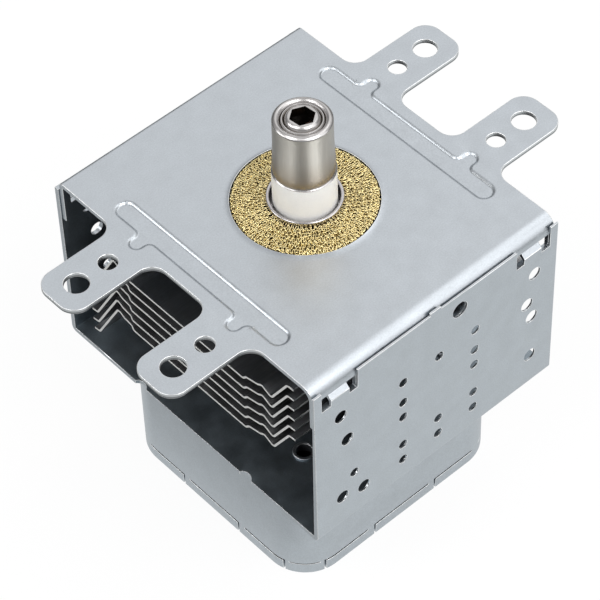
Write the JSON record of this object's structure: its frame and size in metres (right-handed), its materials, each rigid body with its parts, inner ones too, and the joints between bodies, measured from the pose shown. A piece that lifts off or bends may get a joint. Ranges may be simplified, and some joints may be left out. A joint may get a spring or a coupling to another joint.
{
  "type": "magnetron",
  "caption": "Packaged magnetron with a four-tab mounting plate, a U-shaped magnet yoke, cooling fins, a capped antenna in a wire mesh ring, and a filter box with blade terminals.",
  "frame": {"origin": "centre of the four large mounting holes, on the antenna axis at the outer face of the mounting plate", "axes": "+Z along the antenna, away from the body; +X towards the tabs above the terminal blades; +Y towards one side wall of the yoke"},
  "size_m": [0.1314, 0.0955, 0.1239],
  "materials": {
    "zinc_steel": "zinc-coated sheet steel, satin, light blue-grey",
    "ferrite": "pressed ferrite, matt black",
    "copper": "oxygen-free copper, satin",
    "seal_steel": "plated steel, satin",
    "cap_steel": "drawn steel, bright satin, slightly warm",
    "alumina": "sintered alumina ceramic, off-white, matt",
    "brass_mesh": "pressed knitted brass wire",
    "molybdenum": "drawn molybdenum and tungsten, grey",
    "fin_aluminium": "rolled aluminium sheet, satin",
    "enamelled_wire": "enamelled copper wire, gloss",
    "moulded_resin": "moulded thermoset resin, dark red, matt"
  },
  "bodies": {
    "root": {"mounting_plate": "zinc_steel", "yoke_frame": "zinc_steel", "filter_box": "zinc_steel", "filter_lid": "zinc_steel", "capacitor_bracket": "zinc_steel", "bracket_rivets": "zinc_steel", "terminal_blade_1": "zinc_steel", "terminal_blade_2": "zinc_steel", "upper_magnet": "ferrite", "lower_magnet": "ferrite", "choke_core_1": "ferrite", "choke_core_2": "ferrite", "anode_cylinder": "copper", "upper_strap_inner": "copper", "upper_strap_outer": "copper", "lower_strap_inner": "copper", "lower_strap_outer": "copper", "exhaust_tube": "copper", "antenna_lead": "copper", "anode_vane_1": "copper", "anode_vane_2": "copper", "anode_vane_3": "copper", "anode_vane_4": "copper", "anode_vane_5": "copper", "anode_vane_6": "copper", "anode_vane_7": "copper", "anode_vane_8": "copper", "anode_vane_9": "copper", "anode_vane_10": "copper", "upper_pole_piece": "seal_steel", "lower_pole_piece": "seal_steel", "upper_seal_cup": "seal_steel", "lower_seal_cup": "seal_steel", "exhaust_cup": "seal_steel", "stem_terminal_1": "seal_steel", "stem_terminal_2": "seal_steel", "antenna_cap": "cap_steel", "antenna_insulator": "alumina", "stem_insulator": "alumina", "wire_mesh_gasket": "brass_mesh", "upper_end_hat": "molybdenum", "lower_end_hat": "molybdenum", "centre_lead": "molybdenum", "side_lead": "molybdenum", "filament": "molybdenum", "cooling_fin_1": "fin_aluminium", "cooling_fin_2": "fin_aluminium", "cooling_fin_3": "fin_aluminium", "cooling_fin_4": "fin_aluminium", "cooling_fin_5": "fin_aluminium", "cooling_fin_6": "fin_aluminium", "choke_coil_1": "enamelled_wire", "choke_coil_2": "enamelled_wire", "capacitor_case": "moulded_resin"}
  },
  "joints": []
}
